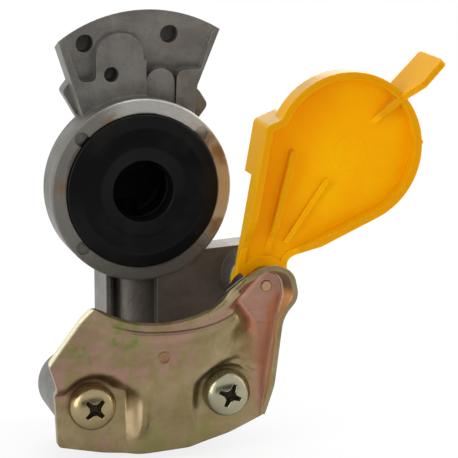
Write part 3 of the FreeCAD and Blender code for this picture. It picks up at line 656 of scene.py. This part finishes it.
def screw(name, place, turn):
    """A pan head with a cross recess, turned by an angle in degrees, on a plain shank."""
    centre_x, centre_z = place
    cos, sin = math.cos(math.radians(turn)), math.sin(math.radians(turn))
    rings = screw_rings()
    points = [(centre_x, -(PLATE_W + HEAD_SKIRT + HEAD_DOME - recess_depth(0.0, 0.0)), centre_z)]
    for index, (radius, height) in enumerate(rings):
        for step in range(SECTORS):
            angle = 2 * math.pi * step / SECTORS
            x, z = radius * math.cos(angle), radius * math.sin(angle)
            sunk = recess_depth(x * cos + z * sin, z * cos - x * sin) if index < DOME_RINGS else 0.0
            points.append((centre_x + x, -(PLATE_W + height - sunk), centre_z + z))
    points.append((centre_x, -(PLATE_W + SHANK_TIP), centre_z))
    last = len(points) - 1
    faces = []
    for step in range(SECTORS):
        after = (step + 1) % SECTORS
        faces.append((0, 1 + step, 1 + after))
        for index in range(len(rings) - 1):
            near, far = 1 + index * SECTORS, 1 + (index + 1) * SECTORS
            faces.append((near + step, far + step, far + after, near + after))
        foot = 1 + (len(rings) - 1) * SECTORS
        faces.append((foot + step, last, foot + after))
    mesh = bpy.data.meshes.new(name)
    mesh.from_pydata([(x * MM, y * MM, z * MM) for x, y, z in points], [], faces)
    mesh.shade_smooth()
    piece = bpy.data.objects.new(name, mesh)
    bpy.context.scene.collection.objects.link(piece)
    return piece


def screws(material):
    for side, place, turn in zip(("left", "right"), SCREW_PLACES, SCREW_TURNS):
        piece = screw("screw_" + side, place, turn)
        piece.data.materials.append(material)
        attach(piece, "head")
        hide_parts("plate_screw_" + side)


# Claw plate: the pressed sheet with a lower bead, a longer fall to its right side
# and a flange that is higher and unbroken from the claw's arc to the wing

def soft_step(value, low, high):
    """Rises smoothly from 0 at low to 1 at high."""
    share = max(0.0, min(1.0, (value - low) / (high - low)))
    return share * share * (3.0 - 2.0 * share)


def crisp_step(value, run):
    """Rises from 0 to 1 over run, with a crisp foot and a soft top."""
    share = max(0.0, min(1.0, value / run))
    return share * (1.35 - 0.35 * share * share)


def clear_of_pads(x, z, wide=0.0):
    """0 on the two screw pads, 1 beyond the walls round them.

    A wide of 1 gives the left pad the wider wall that the bead stands on.
    """
    share = 1.0
    for place, corner, side in zip(SCREW_PLACES, PAD_CORNERS, (-1.0, 1.0)):
        share *= soft_step(math.hypot(x - place[0], z - place[1]), PAD_R, PAD_R + PAD_RUN)
        across = (corner[0] - x) * side + PAD_CORNER_R
        above = z - corner[1] + PAD_CORNER_R
        gap = math.hypot(max(across, 0.0), max(above, 0.0)) + min(max(across, above), 0.0) - PAD_CORNER_R
        wall = soft_step(gap, 0.0, PAD_RUN)
        if wide > 0.0 and side < 0.0:
            wall += wide * (crisp_step(gap, BEAD_WALL_RUN) - wall)
        share *= wall
    return share


def wing_wall(x, z):
    """1 left of the slanting wall that ends the raised form at the wing."""
    (ax, az), (bx, bz) = WING_CREASE
    length = math.hypot(bx - ax, bz - az)
    gap = ((x - ax) * (bz - az) - (z - az) * (bx - ax)) / length
    return soft_step(gap, 0.0, WING_CREASE_RUN)


def form_level(z):
    """Height of the raised form and of the bead on it, as shares."""
    level = 1.0 - FALL_SHARE * soft_step(-z, *FALL_DOWN)
    return level, max(0.0, 1.0 - soft_step(-z, *BEAD_DOWN) - level)


def plain_form(x, z):
    """The solid's raised form, as a share, without its spline's rounding."""
    level, bead = form_level(z)
    profile = 1.0 - soft_step(abs(x - PLAIN_BEAD_X), BEAD_CREST, PLAIN_BEAD_HALF)
    return (level + bead * profile) * soft_step(SIDE_X - x, 0.0, SIDE_RUN) * clear_of_pads(x, z)


def finer_form(x, z):
    """The raised form that the photograph shows, as a share."""
    level, bead = form_level(z)
    profile = 1.0 - soft_step(abs(x - BEAD_X), BEAD_CREST, BEAD_HALF)
    side = soft_step(SIDE_X - x, 0.0, SIDE_RUN + SIDE_RUN_MORE * soft_step(-z, *SIDE_DOWN))
    pads = clear_of_pads(x, z, soft_step(-z, *BEAD_WALL_DOWN))
    return (level + BEAD_SHARE * bead * profile) * side * pads


def spline_weights(share):
    """Weights of the four nearest poles of a cubic spline."""
    rest = 1.0 - share
    return (
        rest ** 3 / 6.0,
        (3.0 * share ** 3 - 6.0 * share ** 2 + 4.0) / 6.0,
        (3.0 * rest ** 3 - 6.0 * rest ** 2 + 4.0) / 6.0,
        share ** 3 / 6.0,
    )


def smoothed_form(x, z):
    """The plain form as the solid's spline rounds it."""
    rows = []
    for value, (low, high, count) in zip((x, z), SPLINE_SPANS):
        step = (high - low) / count
        index = int((value - low) / step)
        weights = spline_weights((value - low) / step - index)
        rows.append([(low + (index + k - 1) * step, weight) for k, weight in enumerate(weights)])
    return sum(a * b * plain_form(pole_x, pole_z) for pole_x, a in rows[0] for pole_z, b in rows[1])


def form_change(x, z):
    """How far the finer sheet stands forward of the solid, in millimetres."""
    before = plain_form(x, z)
    left, right, top = BEAD_AREA
    near = soft_step(x, *left) * soft_step(-x, *right) * soft_step(-z, *top)
    if near > 0.0:
        before += near * (smoothed_form(x, z) - before)
    return RAISE * wing_wall(x, z) * (finer_form(x, z) - before)


def rim_shift(x, w, z):
    """How much higher the flange's edge stands at the wing's left, in millimetres."""
    inward = (FLANGE_START[1] + (x - FLANGE_START[0]) * FLANGE_SLOPE - z) * FLANGE_COSINE
    share = (1.0 - soft_step(x, *RIM_END)) * soft_step(x, *RIM_START)
    share *= 1.0 - soft_step(inward, *RIM_INWARD)
    return RIM_LIFT * share * max(0.0, min(1.0, (w - RIM_FOOT) / (RIM_TOP - RIM_FOOT)))


def rim_height(x, z):
    """Front of the claw's flange, which rises towards the arc's edge."""
    rise = min((ARC_LIP_R - math.hypot(x, z)) / ARC_LIP_RUN, ARC_LIP_MOST)
    return min(RIM_MOST, ARC_FRONT + ARC_LIP_RISE * rise * wing_wall(x, z))


def along_x(x, start, added, span):
    """A size that grows from start by added over a span of x."""
    return start + added * soft_step(x, *span)


def rim_section(x):
    """Section of the rim: how far inward of its line and how far below its front."""
    deep, fall, wide = [along_x(x, *size) for size in (RIM_DEEP, RIM_FALL, RIM_WIDE)]
    foot = max(deep, fall + RIM_STEP)
    section = ((0.0, deep), *RIM_EDGE, (RIM_FULL, fall), (RIM_FULL, foot))
    return [(inward * wide, drop) for inward, drop in section]


def rim_points():
    """Points of the rim, one section after the other."""
    points = []
    last = len(RIM_LINE) - 1
    for index, (x, z) in enumerate(RIM_LINE):
        before, after = RIM_LINE[max(index - 1, 0)], RIM_LINE[min(index + 1, last)]
        run, rise = after[0] - before[0], after[1] - before[1]
        length = math.hypot(run, rise)
        for inward, drop in rim_section(x):
            point_x, point_z = x + rise / length * inward, z - run / length * inward
            front = rim_height(point_x, point_z) - along_x(x, *RIM_DIP)
            points.append((point_x, -(front - drop), point_z))
    return points


def rim_faces(size):
    """Faces that join the sections, each of size points, and close both ends."""
    faces = []
    last = (len(RIM_LINE) - 1) * size
    for near in range(0, last, size):
        for step in range(size):
            after = (step + 1) % size
            faces.append((near + step, near + after, near + size + after, near + size + step))
    faces.append(tuple(range(size - 1, -1, -1)))
    faces.append(tuple(range(last, last + size)))
    return faces


def changes(point):
    """Whether the finer sheet differs from the solid at a point."""
    return abs(form_change(point.co.x / MM, point.co.z / MM)) > SMALL_CHANGE


def refine(shape):
    """Splits the sheet's long edges where its form changes."""
    bmesh.ops.remove_doubles(shape, verts=shape.verts, dist=SAME_PLACE)
    for _ in range(3):
        edges = [
            edge for edge in shape.edges
            if edge.calc_length() > LONG_EDGE and any(changes(point) for point in edge.verts)
        ]
        bmesh.ops.subdivide_edges(shape, edges=edges, cuts=1, use_grid_fill=True)
    bmesh.ops.triangulate(shape, faces=shape.faces)


def press(shape):
    """Moves the sheet's points to the finer form and closes its hole on the tenon."""
    for point in shape.verts:
        x, w, z = point.co.x / MM, -point.co.y / MM, point.co.z / MM
        away = math.hypot(x - PIVOT[0], z - PIVOT[1])
        if away < TENON_HOLE:
            point.co.x = (PIVOT[0] + (x - PIVOT[0]) * TENON_R / away) * MM
            point.co.z = (PIVOT[1] + (z - PIVOT[1]) * TENON_R / away) * MM
        point.co.y -= form_change(x, z) * MM
        point.co.z += rim_shift(x, w, z) * MM


def add_rim(shape):
    """Adds the stretch of flange between the claw's arc and the wing."""
    added = [shape.verts.new((x * MM, y * MM, z * MM)) for x, y, z in rim_points()]
    faces = rim_faces(len(added) // len(RIM_LINE))
    strip = [shape.faces.new([added[corner] for corner in face]) for face in faces]
    bmesh.ops.recalc_face_normals(shape, faces=strip)


def claw_sheet(material):
    """Puts the finer sheet in the place of the claw plate."""
    mesh = frame["nodes"]["claw_plate"].data.copy()
    mesh.name = "claw_sheet"
    shape = bmesh.new()
    shape.from_mesh(mesh)
    refine(shape)
    press(shape)
    add_rim(shape)
    shape.to_mesh(mesh)
    shape.free()
    if "custom_normal" in mesh.attributes:
        mesh.attributes.remove(mesh.attributes["custom_normal"])
    mesh.shade_smooth()
    mesh.set_sharp_from_angle(angle=math.radians(CREASE_ANGLE))
    piece = bpy.data.objects.new("claw_sheet", mesh)
    bpy.context.scene.collection.objects.link(piece)
    mesh.materials.clear()
    mesh.materials.append(material)
    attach(piece, "head")
    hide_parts("claw_plate")


# Light, floor and backdrop

def lamp(name, place, wide, tall, power, target=(0.01, 0.0, -0.01)):
    """A rectangular lamp aimed at a place on the object."""
    data = bpy.data.lights.new(name, "AREA")
    data.shape = "RECTANGLE"
    data.size = wide
    data.size_y = tall
    data.energy = power
    piece = bpy.data.objects.new(name, data)
    piece.location = place
    piece.rotation_euler = (Vector(target) - Vector(place)).to_track_quat("-Z", "Y").to_euler()
    bpy.context.scene.collection.objects.link(piece)


def blend(links, nodes, share, first, second, output):
    """Joins a mix of two shaders, 0 for the first and 1 for the second, to the output."""
    mixed = nodes.new("ShaderNodeMixShader")
    for slot, source in zip(mixed.inputs, (share, first, second)):
        links.new(source, slot)
    links.new(mixed.outputs[0], nodes[output].inputs[0])


def world():
    """Soft even light; white where the camera, metal or glass sees it."""
    studio = bpy.data.worlds.new("studio")
    bpy.context.scene.world = studio
    studio.use_nodes = True
    nodes, links = studio.node_tree.nodes, studio.node_tree.links
    soft = nodes["Background"]
    soft.inputs["Color"].default_value = (0.97, 0.98, 1.0, 1.0)
    soft.inputs["Strength"].default_value = 0.65
    white = nodes.new("ShaderNodeBackground")
    white.inputs["Color"].default_value = (1.0, 1.0, 1.0, 1.0)
    white.inputs["Strength"].default_value = 1.0
    rays = nodes.new("ShaderNodeLightPath")
    seen = rays.outputs["Is Camera Ray"]
    for name in ("Is Glossy Ray", "Is Transmission Ray"):
        either = nodes.new("ShaderNodeMath")
        either.operation = "MAXIMUM"
        links.new(seen, either.inputs[0])
        links.new(rays.outputs[name], either.inputs[1])
        seen = either.outputs[0]
    blend(links, nodes, seen, soft.outputs[0], white.outputs[0], "World Output")


def lamps():
    lamp("left_lamp", (-0.55, -0.22, 0.08), 0.3, 0.7, 2.0)
    lamp("top_lamp", (0.05, 0.1, 0.6), 0.4, 0.4, 1.2)
    lamp("right_lamp", (0.5, -0.05, 0.2), 0.25, 0.5, 0.8)
    lamp("back_lamp", (0.3, 0.5, 0.2), 0.4, 0.4, 1.6, (0.05, 0.0, 0.01))


def sheet_of(name, corners, faces):
    """A flat piece of the studio."""
    mesh = bpy.data.meshes.new(name)
    mesh.from_pydata(corners, [], faces)
    piece = bpy.data.objects.new(name, mesh)
    bpy.context.scene.collection.objects.link(piece)
    return piece


def studio_material(piece, color):
    """Gives a stage piece a plain material and returns its nodes, links and shader."""
    material = bpy.data.materials.new(piece.name)
    material.use_nodes = True
    nodes, links = material.node_tree.nodes, material.node_tree.links
    base = nodes["Principled BSDF"]
    base.inputs["Base Color"].default_value = color
    piece.data.materials.append(material)
    return nodes, links, base


def floor():
    """Pale floor that keeps the object's shadow, softened for the camera."""
    low = FLOOR_Z - FLOOR_GAP
    corners = [(-3, -0.2, low), (3, -0.2, low), (3, 4, low), (-3, 4, low)]
    plane = sheet_of("floor", corners, [(0, 1, 2, 3)])
    nodes, links, base = studio_material(plane, (0.9, 0.9, 0.9, 1.0))
    base.inputs["Roughness"].default_value = 1.0
    base.inputs["Specular IOR Level"].default_value = 0.0
    glow = nodes.new("ShaderNodeEmission")
    glow.inputs["Color"].default_value = (1.0, 1.0, 1.0, 1.0)
    glow.inputs["Strength"].default_value = 1.0
    reach = nodes.new("ShaderNodeVectorMath")
    reach.operation = "LENGTH"
    links.new(nodes.new("ShaderNodeTexCoord").outputs["Object"], reach.inputs[0])
    white = nodes.new("ShaderNodeMapRange")
    for slot, number in zip(white.inputs[1:5], FLOOR_WHITE):
        slot.default_value = number
    links.new(reach.outputs["Value"], white.inputs[0])
    share = nodes.new("ShaderNodeMath")
    share.operation = "MULTIPLY"
    rays = nodes.new("ShaderNodeLightPath")
    links.new(rays.outputs["Is Camera Ray"], share.inputs[0])
    links.new(white.outputs[0], share.inputs[1])
    blend(links, nodes, share.outputs[0], base.outputs[0], glow.outputs[0], "Material Output")


def dark_card():
    """The dark side of the studio, round and behind the camera, that only reflections see."""
    corners = [(x, CARD_Y, z) for x, z in CARD_CORNERS]
    card = sheet_of("dark_card", corners, [(0, 1, 2, 3)])
    nodes, links, base = studio_material(card, (0.03, 0.028, 0.026, 1.0))
    clear = nodes.new("ShaderNodeBsdfTransparent")
    rays = nodes.new("ShaderNodeLightPath")
    blend(links, nodes, rays.outputs["Is Glossy Ray"], clear.outputs[0], base.outputs[0], "Material Output")


bpy.context.scene.view_settings.view_transform = "Standard"
camera()
made = dress_nodes()
screws(made["zinc_screw"])
claw_sheet(made["zinc_sheet"])
world()
lamps()
floor()
dark_card()
